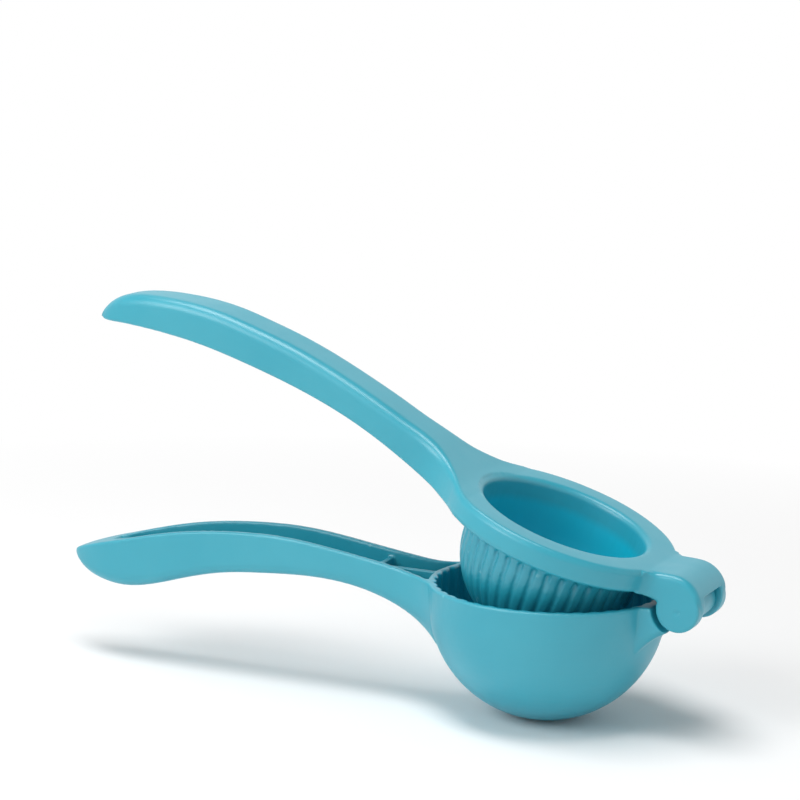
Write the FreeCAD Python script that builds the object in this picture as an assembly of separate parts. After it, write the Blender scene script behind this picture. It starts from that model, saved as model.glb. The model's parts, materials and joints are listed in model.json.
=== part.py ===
import FreeCAD
import Part
import os
from math import sin, cos, sqrt, radians

# Hinged lemon squeezer: two cast aluminium arms joined by one staked pin.
# All lengths are millimetres. +Z is up, the origin is the centre of the flat
# foot under the bowl, the handles run towards -X and the hinge axis is +Y.

V = FreeCAD.Vector
Y_AXIS = V(0, 1, 0)
Z_AXIS = V(0, 0, 1)

# Bowl of the lower arm
bowl_radius = 36.0
foot_radius = 5.0
rim_above_centre = 5.1
rim_radius = 36.3
bowl_wall = 2.3
rim_rounding = 0.5
bowl_flutes = 42
bowl_flute_depth = 0.7
bowl_flute_radius = 1.9
bowl_flute_fade = 1.5
bowl_flute_turn = 0.5
drain_hole_radius = 1.6
drain_circle_radius = 8.8
drain_holes = 6

# Hinge
pin_x = 45.25
pin_above_rim = 0.43
pin_radius = 2.0
pin_running_clearance = 0.05
pin_end_recess = 0.05
pin_dimple_radius = 0.9
pin_dimple_depth = 0.5
pin_dimple_drop = 0.7
hinge_width = 27.0
boss_radius = 6.65
knuckle_radius = 5.2
slot_width = 16.6
slot_side_clearance = 0.5
knuckle_clearance = 0.4
scoop_radius = 8.2
shelf_before_pin = 3.3
root_drop = 12.8
root_waist_in = 6.6
root_waist_down = 4.6
root_side_rounding = 2.5
hood_corner_radius = 4.5
hood_edge_radius = 1.8
hood_root_fillet = 4.2
hood_start = 12.5
hood_back_length = 8.0

# Roof of the hood: distance past the pin and height above it
hood_roof = [(-7.0, 8.78), (-2.5, 9.6), (2.8, 7.95), (5.75, 4.5)]

# Underside of the knuckle's web: distance from the pin towards the bowl and drop
web_underside = [(0.0, 0.0), (6.0, 1.5), (11.25, 6.0)]

# Ring and pressing cup of the upper arm, described with the arms closed
ring_gap = 0.41
ring_thickness = 7.4
ring_radius = 36.0
ring_top_rounding = 0.8
ring_step_width = 0.6
ring_step_depth = 1.05
ring_side_rounding = 0.6
ring_lower_rounding = 1.8
mouth_radius = 25.75
mouth_rounding = 1.9
cup_radius = 27.6
cup_top_radius = 28.9
cup_centre_below_rim = 5.2
cup_wall = 2.2
cup_flutes = 40
cup_flute_depth = 0.75
cup_flute_radius = 0.95
cup_flute_fade = 0.8
cup_flute_top_gap = 3.3

# Handles
handle_wall = 2.2
handle_edge_rounding = 0.5
rib_thickness = 1.6
rib_top_below_rim = 0.6
cross_rib_x = -54.0
cross_rib_rise = 0.8
rib_depth = 10.5
channel_edge_radius = 1.0
lower_channel_corner_extra = 1.0
upper_channel_corner = 1.5

# Opening angle of the arms as they stand
opening_angle = 18.64

# How far cutting solids run past the part, and how far fused solids overlap
cut_past = 8.0
overlap = 1.0
root_overlap = 4.0

# How far down the balls the flutes run, in degrees below the middle
flute_sweep = 84.0

# Stations along the lower handle: x, underside z, top z, half width, lower corner radius
lower_stations = [
    (-161.8, 31.0, 32.3, 0.7, 0.5),
    (-160.4, 29.6, 33.2, 2.4, 1.2),
    (-157.0, 27.0, 34.6, 4.7, 2.6),
    (-150.0, 24.5, 36.8, 7.2, 3.6),
    (-140.0, 23.7, 39.5, 8.7, 4.2),
    (-128.0, 26.3, 42.6, 9.5, 4.0),
    (-112.0, 31.1, 45.4, 9.7, 3.7),
    (-94.0, 33.8, 46.8, 9.6, 3.6),
    (-76.0, 34.9, 46.1, 9.5, 3.6),
    (-62.0, 33.9, 44.3, 9.4, 3.8),
    (-52.0, 31.4, 42.9, 9.6, 4.6),
    (-45.0, 28.4, 41.8, 10.3, 6.2),
    (-39.5, 25.0, 41.0, 11.8, 8.6),
    (-35.0, 21.4, 40.75, 14.4, 11.8),
    (-31.0, 16.9, 40.7, 18.2, 17.0),
]

# Stations along the upper handle when closed: x, lower edge z, top z, half width, shoulder radius
upper_stations = [
    (-165.2, 41.5, 42.6, 0.7, 0.5),
    (-164.3, 41.6, 45.1, 2.0, 1.5),
    (-162.2, 42.0, 48.5, 4.0, 2.8),
    (-157.5, 43.5, 52.7, 6.3, 3.6),
    (-150.0, 45.7, 56.2, 7.9, 3.6),
    (-140.0, 47.9, 59.1, 8.9, 3.5),
    (-127.0, 49.8, 61.5, 9.3, 3.5),
    (-110.0, 50.7, 62.2, 9.3, 3.5),
    (-92.0, 50.6, 61.6, 9.1, 3.5),
    (-76.0, 49.4, 59.7, 9.0, 3.5),
    (-63.0, 47.3, 57.6, 9.0, 3.4),
    (-54.0, 45.2, 55.9, 9.0, 3.3),
    (-47.0, 43.4, 54.7, 9.3, 3.2),
    (-41.0, 42.2, 53.1, 10.9, 3.0),
    (-36.0, 41.5, 51.5, 13.9, 2.6),
    (-31.5, 41.3, 50.1, 18.0, 2.0),
    (-27.5, 41.4, 49.1, 22.8, 1.6),
    (-23.0, 41.8, 48.5, 27.0, 1.4),
]

# Channel of the lower handle: at the tip x, depth, half width, floor corner radius; then the
# places where it follows the handle
lower_channel_tip = [(-147.0, 0.5, 2.7, 0.4), (-144.0, 3.5, 4.2, 2.0), (-139.0, 8.5, 6.4, 2.0)]
lower_channel_run = (-132.0, -122.0, -110.0, -94.0, -76.0, -62.0, -52.0, -45.0, -40.0, -36.0, -33.0)

# Channel of the upper handle, in the same way
upper_channel_tip = [(-157.0, 1.0, 2.5, 0.8), (-153.0, 4.5, 4.2, 1.5), (-146.0, 8.0, 6.2, 1.5)]
upper_channel_run = (-138.0, -127.0, -110.0, -92.0, -76.0, -63.0, -54.0, -47.0, -42.0, -38.0)

# Worked out from the sizes above
bowl_centre_z = sqrt(bowl_radius ** 2 - foot_radius ** 2)
rim_z = bowl_centre_z + rim_above_centre
pin_z = rim_z + pin_above_rim
ring_low_z = rim_z + ring_gap
ring_top_z = ring_low_z + ring_thickness
cup_centre_z = rim_z - cup_centre_below_rim
half_hinge = hinge_width / 2
half_slot = slot_width / 2
pin_point = V(pin_x, 0, pin_z)


def wire_of(edges):
    return Part.Wire(edges)


def line(a, b):
    return Part.LineSegment(a, b).toShape()


def arc(a, middle, b):
    return Part.Arc(a, middle, b).toShape()


def corner_arc(x, centre_y, centre_z, radius, start_degrees):
    """Quarter circle in a plane of constant x, turning by +90 degrees."""
    points = []
    for turn in (0, 45, 90):
        angle = radians(start_degrees + turn)
        points.append(V(x, centre_y + radius * cos(angle), centre_z + radius * sin(angle)))
    return arc(*points)


def section_wire(x, low_z, high_z, half_width, low_radius, high_radius):
    """Rounded rectangle across a handle: four sides and four corner arcs."""
    right, left = half_width, -half_width
    return wire_of([
        corner_arc(x, right - high_radius, high_z - high_radius, high_radius, 0),
        line(V(x, right - high_radius, high_z), V(x, left + high_radius, high_z)),
        corner_arc(x, left + high_radius, high_z - high_radius, high_radius, 90),
        line(V(x, left, high_z - high_radius), V(x, left, low_z + low_radius)),
        corner_arc(x, left + low_radius, low_z + low_radius, low_radius, 180),
        line(V(x, left + low_radius, low_z), V(x, right - low_radius, low_z)),
        corner_arc(x, right - low_radius, low_z + low_radius, low_radius, 270),
        line(V(x, right, low_z + low_radius), V(x, right, high_z - high_radius)),
    ])


def station_at(stations, x):
    """Smooth values between stations: a cubic through the two nearest, with shared slopes."""
    last = len(stations) - 1
    index = 0
    while index < last - 1 and x > stations[index + 1][0]:
        index += 1

    def slope(i, column):
        before, after = max(i - 1, 0), min(i + 1, last)
        rise = stations[after][column] - stations[before][column]
        return rise / (stations[after][0] - stations[before][0])

    x0, x1 = stations[index][0], stations[index + 1][0]
    span = x1 - x0
    t = (x - x0) / span
    values = []
    for column in range(1, len(stations[0])):
        v0, v1 = stations[index][column], stations[index + 1][column]
        m0, m1 = slope(index, column) * span, slope(index + 1, column) * span
        values.append(
            v0 * (2 * t ** 3 - 3 * t ** 2 + 1) + m0 * (t ** 3 - 2 * t ** 2 + t)
            + v1 * (3 * t ** 2 - 2 * t ** 3) + m1 * (t ** 3 - t ** 2)
        )
    return values


def loft(wires):
    return Part.makeLoft(wires, True, False)


def cylinder_y(radius, width, x, z):
    return Part.makeCylinder(radius, width, V(x, -width / 2, z), Y_AXIS)


def extrude_y(outline, width):
    """Solid from a closed XZ outline, centred on y = 0."""
    face = Part.Face(outline)
    face.translate(V(0, -width / 2, 0))
    return face.extrude(V(0, width, 0))


def revolve_z(outline):
    return Part.Face(outline).revolve(V(0, 0, 0), Z_AXIS, 360)


def arc_between(top, side, radius, half_turn):
    """Outward corner arc of a section, from its upper end to its outer end."""
    middle = V(side.x - radius * (1 - cos(half_turn)), 0, top.z - radius * (1 - sin(half_turn)))
    return arc(top, middle, side)


def polyline(points):
    return [line(a, b) for a, b in zip(points, points[1:])]


# Lower arm

def bowl_outside():
    """Ball with a flat foot, a slightly widening band above its middle and a rounded rim."""
    foot_edge = V(foot_radius, 0, 0)
    middle = V(bowl_radius, 0, bowl_centre_z)
    low_angle = radians(-40)
    on_ball = V(bowl_radius * cos(low_angle), 0, bowl_centre_z + bowl_radius * sin(low_angle))
    rim_side = V(rim_radius, 0, rim_z - rim_rounding)
    round_angle = radians(45)
    rim_middle = V(rim_radius - rim_rounding * (1 - cos(round_angle)), 0,
                   rim_z - rim_rounding * (1 - sin(round_angle)))
    rim_edge = V(rim_radius - rim_rounding, 0, rim_z)
    edges = [
        line(V(0, 0, 0), foot_edge),
        arc(foot_edge, on_ball, middle),
        line(middle, rim_side),
        arc(rim_side, rim_middle, rim_edge),
        line(rim_edge, V(0, 0, rim_z)),
        line(V(0, 0, rim_z), V(0, 0, 0)),
    ]
    return revolve_z(wire_of(edges))


def bowl_hollow():
    """Space inside the bowl, open above the rim."""
    inner = bowl_radius - bowl_wall
    over = rim_z + cut_past
    low_angle = radians(-45)
    edges = [
        line(V(0, 0, over), V(0, 0, bowl_centre_z - inner)),
        arc(V(0, 0, bowl_centre_z - inner),
            V(inner * cos(low_angle), 0, bowl_centre_z + inner * sin(low_angle)),
            V(inner, 0, bowl_centre_z)),
        line(V(inner, 0, bowl_centre_z), V(inner, 0, over)),
        line(V(inner, 0, over), V(0, 0, over)),
    ]
    return revolve_z(wire_of(edges))


def flute_cutter(surface_radius, depth, tube_radius, fade, centre_z, top_z, rounded_top, outside):
    """Bar that cuts one flute at azimuth 0: a straight part above the ball's middle and a
    curved part below it, which leaves the surface slowly towards the bottom."""
    if outside:
        path = surface_radius - depth + tube_radius
        drop = -fade
    else:
        path = surface_radius + depth - tube_radius
        drop = fade
    straight = Part.makeCylinder(tube_radius, top_z - centre_z, V(path, 0, centre_z), Z_AXIS)
    circle = Part.Wire(Part.Circle(V(path, 0, centre_z), Z_AXIS, tube_radius).toShape())
    turn_centre = V(drop, 0, centre_z)
    curved = Part.Face(circle).revolve(turn_centre, Y_AXIS, flute_sweep)
    bar = straight.fuse(curved)
    if rounded_top:
        bar = bar.fuse(Part.makeSphere(tube_radius, V(path, 0, top_z)))
    return bar


def ring_of(shape, count, start_degrees=0.0):
    copies = []
    for index in range(count):
        copy = shape.copy()
        copy.rotate(V(0, 0, 0), Z_AXIS, start_degrees + 360.0 * index / count)
        copies.append(copy)
    return copies


def lower_handle():
    wires = []
    for x, low_z, high_z, half_width, corner in lower_stations:
        edge = min(handle_edge_rounding, (high_z - low_z) / 4)
        wires.append(section_wire(x, low_z, high_z, half_width, corner, edge))
    return loft(wires)


def lower_channel():
    """Hollow along the top of the lower handle, closed at the tip by a rising floor."""
    wires = []
    for x, depth, half_width, corner in lower_channel_tip:
        high_z = station_at(lower_stations, x)[1]
        wires.append(section_wire(x, high_z - depth, high_z + cut_past, half_width, corner,
                                  channel_edge_radius))
    for x in lower_channel_run:
        low_z, high_z, half_width, corner = station_at(lower_stations, x)
        wires.append(section_wire(x, low_z + handle_wall, high_z + cut_past, half_width - handle_wall,
                                  corner - handle_wall + lower_channel_corner_extra, channel_edge_radius))
    return loft(wires)


def lower_ribs():
    """Rib along the middle of the channel beside the bowl and one across its far end."""
    top_z = rim_z - rib_top_below_rim
    low_z = top_z - rib_depth
    along = Part.makeBox(abs(cross_rib_x) - bowl_radius + overlap, rib_thickness, rib_depth,
                         V(cross_rib_x, -rib_thickness / 2, low_z))
    across = Part.makeBox(rib_thickness, 2 * bowl_radius, rib_depth + cross_rib_rise,
                          V(cross_rib_x - rib_thickness, -bowl_radius, low_z))
    return along.fuse(across)


def hinge_root():
    """Block that carries the knuckle: full hinge width below the scoop for the bosses."""
    inside_x = bowl_radius - bowl_wall - overlap
    shelf_x = pin_x - shelf_before_pin
    shelf_z = pin_z - sqrt(scoop_radius ** 2 - shelf_before_pin ** 2)
    low_z = bowl_centre_z - root_drop
    low_x = sqrt(bowl_radius ** 2 - root_drop ** 2 - half_hinge ** 2)
    waist = V(shelf_x - root_waist_in, 0, shelf_z - root_waist_down)
    outline = wire_of([
        line(V(inside_x, 0, rim_z), V(shelf_x, 0, rim_z)),
        line(V(shelf_x, 0, rim_z), V(shelf_x, 0, shelf_z)),
        arc(V(shelf_x, 0, shelf_z), waist, V(low_x, 0, low_z)),
        line(V(low_x, 0, low_z), V(low_x - root_overlap, 0, low_z)),
        line(V(low_x - root_overlap, 0, low_z), V(inside_x, 0, rim_z)),
    ])
    block = extrude_y(outline, hinge_width)
    underside = [e for e in block.Edges
                 if abs(abs(e.CenterOfMass.y) - half_hinge) < 0.01 and isinstance(e.Curve, Part.Circle)]
    block = block.makeFillet(root_side_rounding, underside)
    return block.cut(cylinder_y(scoop_radius, hinge_width + cut_past, pin_x, pin_z))


def knuckle():
    """Round lug between the bosses, joined to the root by a web of its own width."""
    width = slot_width - 2 * slot_side_clearance
    barrel = cylinder_y(knuckle_radius, width, pin_x, pin_z)
    web_low_z = pin_z - knuckle_radius
    corners = [V(pin_x - inward, 0, web_low_z - drop) for inward, drop in web_underside]
    corners += [V(corners[-1].x, 0, rim_z), V(pin_x, 0, rim_z), corners[0]]
    return barrel.fuse(extrude_y(wire_of(polyline(corners)), width))


def drain_cutters():
    hole = Part.makeCylinder(drain_hole_radius, 2 * cut_past, V(drain_circle_radius, 0, -cut_past), Z_AXIS)
    return ring_of(hole, drain_holes, 180.0 / drain_holes)


def make_lower_arm():
    ball = bowl_outside()
    handle = lower_handle()
    channel = lower_channel().cut(ball)
    ribs = lower_ribs().common(handle).cut(ball)
    handle = handle.cut(channel).fuse(ribs)
    body = ball.fuse([handle, hinge_root(), knuckle()])
    inner = bowl_radius - bowl_wall
    flute = flute_cutter(inner, bowl_flute_depth, bowl_flute_radius, bowl_flute_fade,
                         bowl_centre_z, rim_z + cut_past, False, False)
    bore = cylinder_y(pin_radius + pin_running_clearance, hinge_width + cut_past, pin_x, pin_z)
    body = body.cut([bowl_hollow(), bore] + drain_cutters())
    body = body.cut(ring_of(flute, bowl_flutes, bowl_flute_turn))
    return body.removeSplitter()


# Upper arm

def ring_outside():
    """Flat ring with a small step under its rounded top edge and a round lower edge."""
    side = ring_radius
    step = side - ring_step_width
    step_z = ring_top_z - ring_step_depth
    half_turn = radians(45)
    top_arc = arc_between(V(step - ring_top_rounding, 0, ring_top_z),
                          V(step, 0, ring_top_z - ring_top_rounding), ring_top_rounding, half_turn)
    side_arc = arc_between(V(side - ring_side_rounding, 0, step_z),
                           V(side, 0, step_z - ring_side_rounding), ring_side_rounding, half_turn)
    low = ring_lower_rounding
    low_middle = V(side - low * (1 - cos(half_turn)), 0, ring_low_z + low * (1 - sin(half_turn)))
    outline = wire_of([
        line(V(0, 0, ring_low_z), V(side - low, 0, ring_low_z)),
        arc(V(side - low, 0, ring_low_z), low_middle, V(side, 0, ring_low_z + low)),
        line(V(side, 0, ring_low_z + low), V(side, 0, step_z - ring_side_rounding)),
        side_arc,
        line(V(side - ring_side_rounding, 0, step_z), V(step, 0, ring_top_z - ring_top_rounding)),
        top_arc,
        line(V(step - ring_top_rounding, 0, ring_top_z), V(0, 0, ring_top_z)),
        line(V(0, 0, ring_top_z), V(0, 0, ring_low_z)),
    ])
    return revolve_z(outline)


def cup_outside():
    low_angle = radians(-45)
    top_z = ring_low_z + overlap
    edges = [
        line(V(0, 0, top_z), V(0, 0, cup_centre_z - cup_radius)),
        arc(V(0, 0, cup_centre_z - cup_radius),
            V(cup_radius * cos(low_angle), 0, cup_centre_z + cup_radius * sin(low_angle)),
            V(cup_radius, 0, cup_centre_z)),
        line(V(cup_radius, 0, cup_centre_z), V(cup_top_radius, 0, top_z)),
        line(V(cup_top_radius, 0, top_z), V(0, 0, top_z)),
    ]
    return revolve_z(wire_of(edges))


def cup_hollow():
    """Space inside the cup with a rounded mouth."""
    inner = cup_radius - cup_wall
    low_angle = radians(-45)
    over = ring_top_z + cut_past
    round_angle = radians(45)
    mouth_side = V(mouth_radius, 0, ring_top_z - mouth_rounding)
    mouth_middle = V(mouth_radius + mouth_rounding * (1 - cos(round_angle)), 0,
                     ring_top_z - mouth_rounding * (1 - sin(round_angle)))
    mouth_top = V(mouth_radius + mouth_rounding, 0, ring_top_z)
    edges = [
        line(V(0, 0, over), V(0, 0, cup_centre_z - inner)),
        arc(V(0, 0, cup_centre_z - inner),
            V(inner * cos(low_angle), 0, cup_centre_z + inner * sin(low_angle)),
            V(inner, 0, cup_centre_z)),
        line(V(inner, 0, cup_centre_z), mouth_side),
        arc(mouth_side, mouth_middle, mouth_top),
        line(mouth_top, V(mouth_top.x, 0, over)),
        line(V(mouth_top.x, 0, over), V(0, 0, over)),
    ]
    return revolve_z(wire_of(edges))


def upper_handle():
    wires = []
    for x, low_z, high_z, half_width, shoulder in upper_stations:
        edge = min(handle_edge_rounding, (high_z - low_z) / 4)
        wires.append(section_wire(x, low_z, high_z, half_width, edge, shoulder))
    return loft(wires)


def upper_channel():
    """Hollow along the underside of the upper handle, closed at the tip by a falling roof."""
    wires = []
    for x, depth, half_width, corner in upper_channel_tip:
        low_z = station_at(upper_stations, x)[0]
        wires.append(section_wire(x, low_z - cut_past, low_z + depth, half_width,
                                  channel_edge_radius, corner))
    for x in upper_channel_run:
        low_z, high_z, half_width, shoulder = station_at(upper_stations, x)
        wires.append(section_wire(x, low_z - cut_past, high_z - handle_wall, half_width - handle_wall,
                                  channel_edge_radius, upper_channel_corner))
    return loft(wires)


def hood_outline():
    """Side view of the hinge block above the bosses."""
    def at(dx, dz):
        return V(pin_x + dx, 0, pin_z + dz)
    top = ring_top_z - pin_z
    roof_points = [(-hood_start, top)] + hood_roof + [(boss_radius, 0)]
    roof = Part.BSplineCurve()
    roof.interpolate([at(dx, dz) for dx, dz in roof_points])
    return wire_of([
        roof.toShape(),
        arc(at(boss_radius, 0), at(0, -boss_radius), at(-boss_radius, 0)),
        line(at(-boss_radius, 0), at(-hood_start, 0)),
        line(at(-hood_start, 0), at(-hood_start, top)),
    ])


def hood_plan():
    """Plan of the hinge block: rounded outer corners."""
    front = pin_x + boss_radius
    back = pin_x - hood_start - overlap
    radius = hood_corner_radius
    side = half_hinge
    bend = radius * (1 - cos(radians(45)))
    face = Part.Face(wire_of([
        line(V(back, -side, 0), V(front - radius, -side, 0)),
        arc(V(front - radius, -side, 0), V(front - bend, -side + bend, 0), V(front, -side + radius, 0)),
        line(V(front, -side + radius, 0), V(front, side - radius, 0)),
        arc(V(front, side - radius, 0), V(front - bend, side - bend, 0), V(front - radius, side, 0)),
        line(V(front - radius, side, 0), V(back, side, 0)),
        line(V(back, side, 0), V(back, -side, 0)),
    ]))
    return face.extrude(V(0, 0, 2 * pin_z))


def hood_fillets():
    """Concave corners where the sides of the hinge block leave the ring."""
    gap = hood_root_fillet
    centre_y = half_hinge + gap
    centre_x = sqrt((ring_radius + gap) ** 2 - centre_y ** 2)
    on_ring = V(centre_x, centre_y, 0) * (ring_radius / (ring_radius + gap))
    on_side = V(centre_x, half_hinge, 0)
    chord = V(on_ring.x + on_side.x - 2 * centre_x, on_ring.y + on_side.y - 2 * centre_y, 0)
    chord.normalize()
    middle = V(centre_x, centre_y, 0) + chord * gap
    inner = V(on_ring.x - overlap, half_hinge - overlap, 0)
    solids = []
    for side in (-1, 1):
        points = [V(p.x, side * p.y, ring_low_z) for p in (on_ring, middle, on_side, inner)]
        outline = wire_of([arc(*points[:3]), line(points[2], points[3]), line(points[3], points[0])])
        solids.append(Part.Face(outline).extrude(V(0, 0, ring_thickness)))
    return solids


def clevis():
    """Hinge block with two ears round the pin, and the cuts for its slot and bore."""
    block = extrude_y(hood_outline(), hinge_width)
    roof_edges = [e for e in block.Edges
                  if abs(abs(e.CenterOfMass.y) - half_hinge) < 0.01
                  and isinstance(e.Curve, Part.BSplineCurve)]
    block = block.makeFillet(hood_edge_radius, roof_edges).common(hood_plan())
    bosses = cylinder_y(boss_radius, hinge_width, pin_x, pin_z)
    back = Part.makeBox(hood_back_length + overlap, hinge_width, ring_thickness,
                        V(pin_x - hood_start - hood_back_length, -half_hinge, ring_low_z))
    slot_radius = knuckle_radius + knuckle_clearance
    below = Part.makeBox(2 * boss_radius + overlap + cut_past, slot_width, boss_radius + cut_past,
                         V(pin_x - boss_radius - overlap, -half_slot, pin_z - boss_radius - cut_past))
    front = Part.makeBox(boss_radius + cut_past, slot_width, slot_radius + overlap,
                         V(pin_x, -half_slot, pin_z - overlap))
    slot = cylinder_y(slot_radius, slot_width, pin_x, pin_z).fuse([below, front])
    bore = cylinder_y(pin_radius, hinge_width + cut_past, pin_x, pin_z)
    return block.fuse([bosses, back] + hood_fillets()), slot.fuse(bore)


def make_upper_arm():
    handle = upper_handle().cut(upper_channel())
    solid_hinge, hinge_cut = clevis()
    body = ring_outside().fuse([cup_outside(), handle, solid_hinge])
    body = body.cut([cup_hollow(), hinge_cut])
    flute = flute_cutter(cup_radius, cup_flute_depth, cup_flute_radius, cup_flute_fade,
                         cup_centre_z, ring_low_z - cup_flute_top_gap, True, True)
    body = body.cut(ring_of(flute, cup_flutes))
    return body.removeSplitter()


# Pin

def make_pin():
    length = hinge_width - 2 * pin_end_recess
    pin = cylinder_y(pin_radius, length, pin_x, pin_z)
    dimples = []
    for side in (-1, 1):
        start = V(pin_x, side * (length / 2 - pin_dimple_depth), pin_z - pin_dimple_drop)
        dimples.append(Part.makeCylinder(pin_dimple_radius, 2 * pin_dimple_depth, start, V(0, side, 0)))
    return pin.cut(dimples)


def open_up(shape):
    """Swing a shape of the upper body from closed to the opening angle."""
    shape.rotate(pin_point, Y_AXIS, opening_angle)
    return shape


def main():
    os.makedirs("parts", exist_ok=True)
    nodes = {
        "lower_arm": make_lower_arm(),
        "upper_arm": open_up(make_upper_arm()),
        "hinge_pin": open_up(make_pin()),
    }
    for name, shape in nodes.items():
        shape.exportStep("parts/" + name + ".step")
        box = shape.BoundBox
        print(name, "solids", len(shape.Solids), "valid", shape.isValid(),
              "volume", round(shape.Volume), "box", round(box.XMin, 1), round(box.XMax, 1),
              round(box.YMin, 1), round(box.YMax, 1), round(box.ZMin, 1), round(box.ZMax, 1))


main()
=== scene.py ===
# %% [markdown]
# # A hinged lemon squeezer in sky-blue enamel
# The real object is two aluminium castings and one pin. Each casting is dipped in enamel, a
# thick coat that rounds every edge it covers and sags a little into every corner.
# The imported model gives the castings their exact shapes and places. This lesson gives them
# their coat: first as real geometry, then as a material, and last under studio light.

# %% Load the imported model
import bmesh
import bpy
import json
import math
from mathutils import Matrix, Vector


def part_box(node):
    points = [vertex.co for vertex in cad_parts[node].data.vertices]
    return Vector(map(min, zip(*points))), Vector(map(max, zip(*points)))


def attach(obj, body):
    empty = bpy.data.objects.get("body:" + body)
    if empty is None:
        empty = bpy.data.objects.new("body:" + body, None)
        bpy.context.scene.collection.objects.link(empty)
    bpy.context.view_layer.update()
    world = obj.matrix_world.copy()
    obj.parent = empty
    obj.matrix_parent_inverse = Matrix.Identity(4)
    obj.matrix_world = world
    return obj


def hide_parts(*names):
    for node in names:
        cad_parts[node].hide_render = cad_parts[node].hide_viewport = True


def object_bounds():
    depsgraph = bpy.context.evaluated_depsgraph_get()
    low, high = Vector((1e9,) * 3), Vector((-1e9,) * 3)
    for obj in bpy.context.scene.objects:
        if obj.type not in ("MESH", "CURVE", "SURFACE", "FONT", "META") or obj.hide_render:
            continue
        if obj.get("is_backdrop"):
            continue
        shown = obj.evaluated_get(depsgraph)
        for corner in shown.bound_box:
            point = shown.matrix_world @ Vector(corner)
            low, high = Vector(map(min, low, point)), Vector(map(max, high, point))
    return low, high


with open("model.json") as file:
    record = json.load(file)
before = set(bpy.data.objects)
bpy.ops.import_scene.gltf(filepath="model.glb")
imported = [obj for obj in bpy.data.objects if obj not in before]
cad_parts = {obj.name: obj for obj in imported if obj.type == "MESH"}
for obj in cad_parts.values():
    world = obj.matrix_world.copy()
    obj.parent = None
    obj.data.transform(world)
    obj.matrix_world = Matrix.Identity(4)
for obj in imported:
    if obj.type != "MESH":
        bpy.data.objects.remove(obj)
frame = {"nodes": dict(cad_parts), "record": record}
cad_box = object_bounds()
nodes = frame["nodes"]

# %% [markdown]
# ## Where things are
# The hinge is the one place that both arms share, so its position is read from the packed
# record instead of being typed again. The arms stand open at rest. The lower end of the
# hinge's range is the closed position, so it is also the opening angle.

# %% Read the hinge
hinge = frame["record"]["behaviour"]["joints"][0]
hinge_point = Vector(hinge["pos_m"])
opening = -math.radians(hinge["range_deg"][0])
closed_to_open = Matrix.Rotation(opening, 4, Vector(hinge["axis"])).to_3x3()
print("hinge at", [round(v, 5) for v in hinge_point], "open by", round(math.degrees(opening), 2))

# %% [markdown]
# ## One body of metal from a node
# A coat of enamel covers a casting as one closed skin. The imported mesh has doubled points
# along its sharp edges, so they are merged first: a modifier that works on volume needs a
# closed surface. The points are taken through the node's own matrix, so the copy lies where
# the node lies, and the node itself is only read.

# %% Copy a casting
MERGE = 2e-6

def casting_copy(name, node_name):
    node = nodes[node_name]
    shape = bmesh.new()
    shape.from_mesh(node.data)
    shape.transform(node.matrix_world)
    bmesh.ops.remove_doubles(shape, verts=shape.verts, dist=MERGE)
    mesh = bpy.data.meshes.new(name)
    shape.to_mesh(mesh)
    shape.free()
    piece = bpy.data.objects.new(name, mesh)
    bpy.context.scene.collection.objects.link(piece)
    print(name, "starts with", len(mesh.polygons), "faces")
    return piece

# %% [markdown]
# ## The coat as geometry
# Bevels would need every edge of every flute picked out. A voxel remesh asks for nothing: it
# wraps the casting in even small faces, and a few passes of smoothing then let them flow as
# wet enamel does, round on the outside of an edge and filled in on the inside. The last step
# thins out the faces where the skin is flat.

# %% Wrap and smooth
SKIN_VOXEL = 0.0004
FLOW_PASSES = 6
FLOW_STRENGTH = 0.5

def settle(piece):
    """Turns the modifiers of a piece into its mesh."""
    graph = bpy.context.evaluated_depsgraph_get()
    mesh = bpy.data.meshes.new_from_object(piece.evaluated_get(graph))
    old = piece.data
    piece.modifiers.clear()
    piece.data = mesh
    bpy.data.meshes.remove(old)

def coat(piece):
    wrap = piece.modifiers.new("wrap", "REMESH")
    wrap.mode = "VOXEL"
    wrap.voxel_size = SKIN_VOXEL
    flow = piece.modifiers.new("flow", "SMOOTH")
    flow.factor = FLOW_STRENGTH
    flow.iterations = FLOW_PASSES
    settle(piece)

# %% Thin out
KEPT_FACES = 0.35

def thin_out(piece):
    fewer = piece.modifiers.new("fewer faces", "DECIMATE")
    fewer.ratio = KEPT_FACES
    settle(piece)
    faces = piece.data.polygons
    faces.foreach_set("use_smooth", [True] * len(faces))
    print(piece.name, "faces", len(faces))

# %% [markdown]
# ## The lower arm
# The bowl, its flutes, the channel handle and the knuckle are one casting, so they share one
# skin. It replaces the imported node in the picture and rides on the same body.

# %% Coat the lower arm
lower = casting_copy("lower_arm_enamelled", "lower_arm")
coat(lower)
thin_out(lower)
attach(lower, "lower")
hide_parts("lower_arm")

# %% [markdown]
# ## The pin's ends
# The pin is pressed into the two ears and coated with them, so on the real object its ends
# can hardly be told from the ears. Skin modelled around a separate pin would need a seam
# there. Instead a plug as wide as the pin closes each bore before the skin is wrapped. The
# pin ends a little short of the ears' faces, and the plug runs from face to face.

# %% Close the bores
PIN_RECESS = 0.00005
PLUG_EXTRA = 0.0001
PLUG_SIDES = 48
pin_low, pin_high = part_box("hinge_pin")
pin_radius = (pin_high.x - pin_low.x) / 2
ear_face = pin_high.y + PIN_RECESS

def add_plug(piece):
    shape = bmesh.new()
    shape.from_mesh(piece.data)
    place = Matrix.Translation(hinge_point) @ Matrix.Rotation(math.radians(90), 4, "X")
    radius = pin_radius + PLUG_EXTRA
    bmesh.ops.create_cone(shape, cap_ends=True, segments=PLUG_SIDES, radius1=radius,
                          radius2=radius, depth=2 * ear_face, matrix=place)
    shape.to_mesh(piece.data)
    shape.free()
    print("plug radius", round(radius * 1000, 2), "mm, length", round(ear_face * 2000, 2), "mm")

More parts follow.
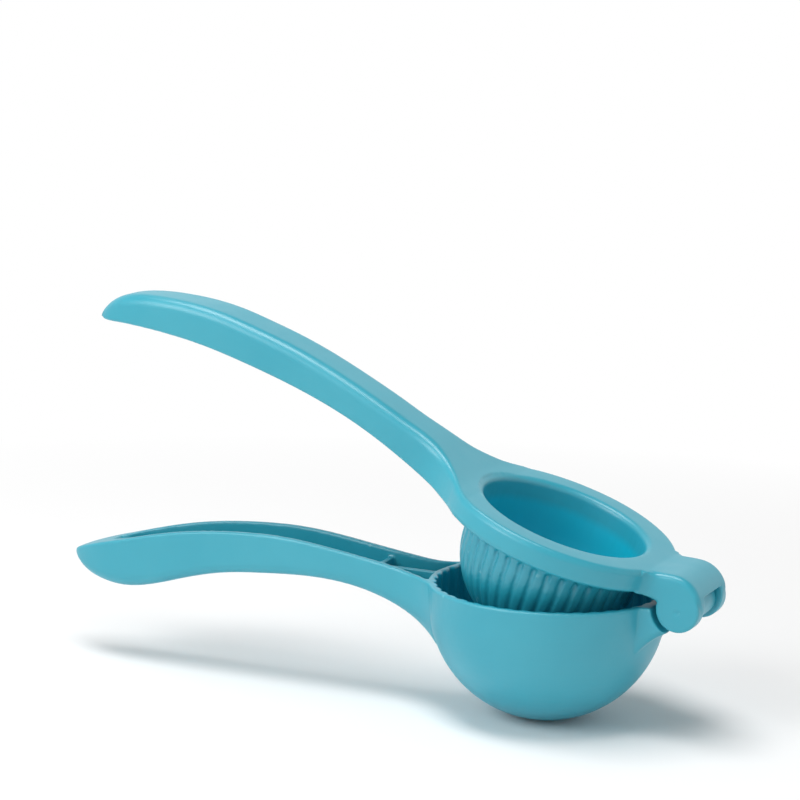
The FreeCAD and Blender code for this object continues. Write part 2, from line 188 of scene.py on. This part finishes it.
# %% [markdown]
# ## The punch marks
# One blow of a punch spreads each end of the pin, a little below its middle, and the coat
# leaves a soft pit there. A dent cut with a boolean would have a hard rim. So the skin is
# divided more finely around the place, and its points are pushed in along a bell-shaped
# curve, which has no edge of its own. The bell is narrower than the dimple in the pin's own
# end, so the pin stays hidden under the skin.

# %% Press the punch marks
MARK_DEPTH = 0.0005
MARK_WIDTH = 0.00055
MARK_REACH = 0.0020
MARK_DROP = 0.0007
MARK_BAND = 0.001
MARK_CUTS = 2

def press_mark(piece):
    centre = hinge_point + closed_to_open @ Vector((0, 0, -MARK_DROP))
    shape = bmesh.new()
    shape.from_mesh(piece.data)

    def away(vertex):
        return math.hypot(vertex.co.x - centre.x, vertex.co.z - centre.z)

    def on_face(vertex):
        return abs(vertex.co.y) > ear_face - MARK_BAND

    near = [edge for edge in shape.edges
            if on_face(edge.verts[0]) and min(map(away, edge.verts)) < MARK_REACH]
    bmesh.ops.subdivide_edges(shape, edges=near, cuts=MARK_CUTS, use_grid_fill=True)
    moved = [v for v in shape.verts if away(v) < MARK_REACH and on_face(v)]
    for vertex in moved:
        push = MARK_DEPTH * math.exp(-(away(vertex) / MARK_WIDTH) ** 2)
        vertex.co.y -= math.copysign(push, vertex.co.y)
    bmesh.ops.triangulate(shape, faces=[f for f in shape.faces if len(f.verts) > 4])
    shape.to_mesh(piece.data)
    shape.free()
    print("punch marks moved", len(moved), "points")

# %% [markdown]
# ## The upper arm
# The ring, the fluted pressing cup, the handle and the hood with its ears are the second
# casting. It is coated as the lower one is, with the plug in its bores, and it is punched
# last, because thinning out would blur so small a mark.

# %% Coat the upper arm
upper = casting_copy("upper_arm_enamelled", "upper_arm")
add_plug(upper)
coat(upper)
thin_out(upper)
press_mark(upper)
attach(upper, "upper")
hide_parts("upper_arm")

# %% [markdown]
# ## Helpers for materials
# Every paint below is made of the same few steps: a noise, a ramp, a change of range and a
# mix. Each becomes one short function, so the paints themselves read as a recipe. Nothing
# here uses a picture, so the paints keep their scale at any distance.

# %% Nodes and noise
WHITE, BLACK = (1, 1, 1, 1), (0, 0, 0, 1)

def node_in(tree, kind, **settings):
    node = tree.nodes.new(kind)
    for key, value in settings.items():
        setattr(node, key, value)
    return node

def noise_of(tree, coords, scale, detail):
    noise = node_in(tree, "ShaderNodeTexNoise")
    noise.inputs["Scale"].default_value = scale
    noise.inputs["Detail"].default_value = detail
    tree.links.new(coords, noise.inputs["Vector"])
    return noise.outputs["Fac"]

def distance_of(tree, coords, centre):
    distance = node_in(tree, "ShaderNodeVectorMath", operation="DISTANCE")
    distance.inputs[1].default_value = centre
    tree.links.new(coords, distance.inputs[0])
    return distance.outputs["Value"]

# %% Ramps, ranges and mixes
def ramp_of(tree, fac, positions, colours):
    ramp = node_in(tree, "ShaderNodeValToRGB")
    for element, position, colour in zip(ramp.color_ramp.elements, positions, colours):
        element.position, element.color = position, colour
    tree.links.new(fac, ramp.inputs["Fac"])
    return ramp.outputs["Color"]

def range_of(tree, value, low, high, to_low, to_high):
    spread = node_in(tree, "ShaderNodeMapRange")
    names = ("From Min", "From Max", "To Min", "To Max")
    for name, number in zip(names, (low, high, to_low, to_high)):
        spread.inputs[name].default_value = number
    tree.links.new(value, spread.inputs["Value"])
    return spread.outputs["Result"]

def mix_of(tree, fac, first, second):
    """Mixes two colours; either may be a plain colour."""
    mix = node_in(tree, "ShaderNodeMix", data_type="RGBA")
    tree.links.new(fac, mix.inputs[0])
    for socket, colour in ((mix.inputs[6], first), (mix.inputs[7], second)):
        if isinstance(colour, tuple):
            socket.default_value = colour
        else:
            tree.links.new(colour, socket)
    return mix.outputs[2]

# %% [markdown]
# ## The enamel's colour
# Three things keep the sky blue from being one flat colour. Cloudy patches a few centimetres
# wide where the coat is thicker, and edges that come out paler because wet enamel runs away
# from them, are the coat's own. The hollows carry painted light: their insides get a brighter,
# deeper blue that stands in for the light bouncing around in them. Pointiness tells how
# sharply the skin bends outward, and the distance from the middle of a round hollow tells
# how far inside it a point lies, so both can be painted without a picture.

# %% Mix the colour
ENAMEL = (0.016, 0.340, 0.448, 1)
ENAMEL_THIN = (0.026, 0.360, 0.466, 1)
ENAMEL_EDGE = (0.10, 0.44, 0.53, 1)
# Painted light: a brighter, deeper blue for the inside of the hollows, standing in for the light
# bouncing around in them.
HOLLOW_PAINTED_LIGHT = (0.004, 0.440, 0.585, 1)
CLOUD_SIZE, CLOUD_DETAIL = 28.0, 3
CLOUD_STEPS = (0.38, 0.62)
EDGE_BENDS = (0.52, 0.62)
HOLLOW_LIGHT_FADE = 0.0007

def enamel_colour(tree, coords, hollow_centre, hollow_radius):
    clouds = noise_of(tree, coords, CLOUD_SIZE, CLOUD_DETAIL)
    colour = ramp_of(tree, clouds, CLOUD_STEPS, (ENAMEL, ENAMEL_THIN))
    if hollow_centre is not None:
        # Painted bounce light: points inside the hollow turn to the brighter blue, fading out
        # over a short band at its wall.
        distance = distance_of(tree, coords, hollow_centre)
        inside = range_of(tree, distance, hollow_radius, hollow_radius + HOLLOW_LIGHT_FADE, 1, 0)
        colour = mix_of(tree, inside, colour, HOLLOW_PAINTED_LIGHT)
    bend = node_in(tree, "ShaderNodeNewGeometry").outputs["Pointiness"]
    edge = ramp_of(tree, bend, EDGE_BENDS, (BLACK, WHITE))
    return mix_of(tree, edge, colour, ENAMEL_EDGE)

# %% [markdown]
# ## The enamel's gloss
# The coat has a satin gloss with a fine orange peel, which breaks up the reflections. A bump
# is enough for the peel, because it is far too shallow to show in the outline. It is kept
# coarse and weak: a finer one turns into glitter where a handle is seen small and end on.

# %% Mix the enamel
GLOSS_SIZE, GLOSS_DETAIL = CLOUD_SIZE * 5, 2
GLOSS_RANGE = (0.32, 0.42)
GLOSS_LEVEL = 0.8
PEEL_SIZE, PEEL_DETAIL = 520.0, 2
PEEL_HEIGHT = 0.00003
PEEL_STRENGTH = 0.25

def make_enamel(name, hollow_centre=None, hollow_radius=0):
    material = bpy.data.materials.new(name)
    material.use_nodes = True
    tree = material.node_tree
    shader = tree.nodes["Principled BSDF"]
    shader.inputs["Specular IOR Level"].default_value = GLOSS_LEVEL
    coords = node_in(tree, "ShaderNodeTexCoord").outputs["Object"]
    colour = enamel_colour(tree, coords, hollow_centre, hollow_radius)
    tree.links.new(colour, shader.inputs["Base Color"])
    gloss = noise_of(tree, coords, GLOSS_SIZE, GLOSS_DETAIL)
    tree.links.new(range_of(tree, gloss, 0, 1, *GLOSS_RANGE), shader.inputs["Roughness"])
    peel = node_in(tree, "ShaderNodeBump")
    peel.inputs["Strength"].default_value = PEEL_STRENGTH
    peel.inputs["Distance"].default_value = PEEL_HEIGHT
    tree.links.new(noise_of(tree, coords, PEEL_SIZE, PEEL_DETAIL), peel.inputs["Height"])
    tree.links.new(peel.outputs["Normal"], shader.inputs["Normal"])
    return material

# %% [markdown]
# ## Paint on the pieces
# The bowl and the cup are both balls cut open at the top, so each hollow is a ball too, and the
# painted bounce light fills each one out to its inner wall. The bowl stands on the floor with
# its middle straight above the foot. The cup sits in the bowl when the arms are closed, so its
# middle is given there and turned about the hinge with the arm. The pin keeps its imported mesh
# and gets the same enamel, without a hollow.

# %% Paint the pieces
BOWL_CENTRE = Vector((0, 0, 0.0357))
BOWL_INSIDE = 0.0346
CUP_CENTRE_CLOSED = Vector((0, 0, 0.0356))
CUP_INSIDE = 0.0260

cup_centre = hinge_point + closed_to_open @ (CUP_CENTRE_CLOSED - hinge_point)
# Each arm's hollow is where its painted bounce light goes.
paints = {
    lower: make_enamel("enamel_lower_arm", BOWL_CENTRE, BOWL_INSIDE),
    upper: make_enamel("enamel_upper_arm", cup_centre, CUP_INSIDE),
}
for piece, paint in paints.items():
    piece.data.materials.clear()
    piece.data.materials.append(paint)
pin_paint = make_enamel("enamel_hinge_pin")
for place in nodes["hinge_pin"].material_slots:
    place.material = pin_paint
print("cup centre at rest", [round(v, 4) for v in cup_centre])

# %% [markdown]
# ## Floor and backdrop
# The squeezer stands on the foot of its bowl on a plain pale floor, which keeps the shadow.
# A floor seen at a flat angle turns grey towards its horizon. So away from the object it fades
# to pure white, for the camera alone: the light it throws back on the enamel stays the same.

# %% Paint the floor
FLOOR_PAINT = (0.96, 0.96, 0.96, 1)
FLOOR_ROUGHNESS = 0.9
FLOOR_GLOSS = 0.1
FADE_CENTRE = (-0.04, 0, 0)
FADE_START, FADE_END = 0.17, 0.42

def make_floor_paint():
    material = bpy.data.materials.new("pale_floor")
    material.use_nodes = True
    tree = material.node_tree
    shader = tree.nodes["Principled BSDF"]
    shader.inputs["Base Color"].default_value = FLOOR_PAINT
    shader.inputs["Roughness"].default_value = FLOOR_ROUGHNESS
    shader.inputs["Specular IOR Level"].default_value = FLOOR_GLOSS
    coords = node_in(tree, "ShaderNodeTexCoord").outputs["Object"]
    distance = distance_of(tree, coords, FADE_CENTRE)
    far = range_of(tree, distance, FADE_START, FADE_END, 0, 1)
    seen = node_in(tree, "ShaderNodeMath", operation="MULTIPLY")
    tree.links.new(far, seen.inputs[0])
    tree.links.new(node_in(tree, "ShaderNodeLightPath").outputs["Is Camera Ray"], seen.inputs[1])
    glow = node_in(tree, "ShaderNodeEmission")
    mix = node_in(tree, "ShaderNodeMixShader")
    tree.links.new(seen.outputs[0], mix.inputs[0])
    tree.links.new(shader.outputs[0], mix.inputs[1])
    tree.links.new(glow.outputs[0], mix.inputs[2])
    tree.links.new(mix.outputs[0], tree.nodes["Material Output"].inputs["Surface"])
    return material

# %% Lay the floor
FLOOR_SIZE = 6.0
half = FLOOR_SIZE / 2
corners = [(-half, -half, 0), (half, -half, 0), (half, half, 0), (-half, half, 0)]
floor_mesh = bpy.data.meshes.new("floor")
floor_mesh.from_pydata(corners, [], [(0, 1, 2, 3)])
floor_mesh.materials.append(make_floor_paint())
floor = bpy.data.objects.new("floor", floor_mesh)
bpy.context.scene.collection.objects.link(floor)
floor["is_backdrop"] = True
print("floor", FLOOR_SIZE, "m square")

# %% [markdown]
# ## The studio around it
# Satin enamel shows the room it stands in. White walls give the pale sheen on every face seen
# at a flat angle, and a dimmer ceiling keeps the rounded shoulders of the handles deep blue.
# The room is a world colour that changes with height. Reflections show it brighter than it
# lights the object, and the camera itself sees plain white.

# %% Build the studio
WALL, CEILING = (1.0, 1.0, 1.0, 1), (0.32, 0.32, 0.32, 1)
WALL_TOP, CEILING_START = 0.45, 0.85
ROOM_LIGHT = 0.58

def make_world():
    world = bpy.data.worlds.new("studio")
    bpy.context.scene.world = world
    world.use_nodes = True
    tree = world.node_tree
    tree.nodes.clear()
    direction = node_in(tree, "ShaderNodeTexCoord").outputs["Generated"]
    parts = node_in(tree, "ShaderNodeSeparateXYZ")
    tree.links.new(direction, parts.inputs[0])
    room = ramp_of(tree, parts.outputs["Z"], (WALL_TOP, CEILING_START), (WALL, CEILING))
    path = node_in(tree, "ShaderNodeLightPath")

    def background(strength, colour=None):
        shade = node_in(tree, "ShaderNodeBackground")
        shade.inputs["Strength"].default_value = strength
        shade.inputs["Color"].default_value = WHITE
        if colour:
            tree.links.new(colour, shade.inputs["Color"])
        return shade.outputs[0]

    def choose(ray, otherwise, when):
        mix = node_in(tree, "ShaderNodeMixShader")
        tree.links.new(path.outputs[ray], mix.inputs[0])
        tree.links.new(otherwise, mix.inputs[1])
        tree.links.new(when, mix.inputs[2])
        return mix.outputs[0]

    lit = background(ROOM_LIGHT, room)
    shown = choose("Is Glossy Ray", lit, background(1.0, room))
    seen = choose("Is Camera Ray", shown, background(1.0))
    out = node_in(tree, "ShaderNodeOutputWorld")
    tree.links.new(seen, out.inputs["Surface"])

make_world()
print("world", bpy.context.scene.world.name, "lights at", ROOM_LIGHT)

# %% [markdown]
# ## Lamps
# A wide soft box overhead lays a soft bright band along the shoulder of the upper handle. A
# square one in front on the left is high enough to look into the cup, and turns the ball of
# the bowl gently from light to shade.

# %% Hang the lamps
LAMP_AIM = Vector((-0.05, 0, 0.06))
LAMPS = {
    "overhead": {"place": (-0.15, -0.15, 1.1), "size": (0.9, 0.40), "power": 8},
    "front_left": {"place": (-0.65, -0.95, 0.75), "size": (0.7, 0.7), "power": 6.5},
}

def soft_box(name, place, size, power):
    lamp = bpy.data.lights.new(name, "AREA")
    lamp.shape = "RECTANGLE"
    lamp.size, lamp.size_y = size
    lamp.energy = power
    holder = bpy.data.objects.new(name, lamp)
    bpy.context.scene.collection.objects.link(holder)
    holder.location = place
    direction = LAMP_AIM - Vector(place)
    holder.rotation_mode = "QUATERNION"
    holder.rotation_quaternion = direction.to_track_quat("-Z", "Y")
    print("lamp", name, power, "W,", round(direction.length, 2), "m away")

for name, settings in LAMPS.items():
    soft_box(name, **settings)

# %% [markdown]
# ## Camera
# A long lens looks down by about ten degrees, from a little to the right of square on. The
# camera is set by the point it aims at, its distance and three angles, which says more than a
# bare matrix does.

# %% Set the camera
CAMERA_AIM = Vector((-0.0519, 0.0030, 0.0915))
CAMERA_DISTANCE = 0.960
CAMERA_AZIMUTH = math.radians(-66.949)
CAMERA_ELEVATION = math.radians(10.343)
CAMERA_ROLL = math.radians(1.927)
CAMERA_LENS, CAMERA_SENSOR = 141.13, 36
CAMERA_NEAR, CAMERA_FAR = 0.05, 20

def make_camera():
    level = math.cos(CAMERA_ELEVATION)
    back = Vector((level * math.cos(CAMERA_AZIMUTH), level * math.sin(CAMERA_AZIMUTH),
                   math.sin(CAMERA_ELEVATION)))
    right = Vector((0, 0, 1)).cross(back).normalized()
    up = back.cross(right)
    turned_right = right * math.cos(CAMERA_ROLL) + up * math.sin(CAMERA_ROLL)
    turned_up = back.cross(turned_right)
    lens = bpy.data.cameras.new("camera")
    lens.lens, lens.sensor_width = CAMERA_LENS, CAMERA_SENSOR
    lens.clip_start, lens.clip_end = CAMERA_NEAR, CAMERA_FAR
    camera = bpy.data.objects.new("camera", lens)
    bpy.context.scene.collection.objects.link(camera)
    turn = Matrix((turned_right, turned_up, back)).transposed().to_4x4()
    camera.matrix_world = Matrix.Translation(CAMERA_AIM + back * CAMERA_DISTANCE) @ turn
    return camera

camera = make_camera()
bpy.context.scene.camera = camera
bpy.context.scene.view_settings.view_transform = "Standard"
print("camera at", [round(v, 4) for v in camera.location])

# %% [markdown]
# ## Finish
# The boxes of the imported model and of the visual one are printed in millimetres. The
# visual model has to keep the size of the imported one, so both boxes are written down.

# %% Write the sizes and finish
visual_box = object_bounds()
for label, (low, high) in (("cad", cad_box), ("visual", visual_box)):
    print(label, "box in mm", [round((b - a) * 1000, 2) for a, b in zip(low, high)])
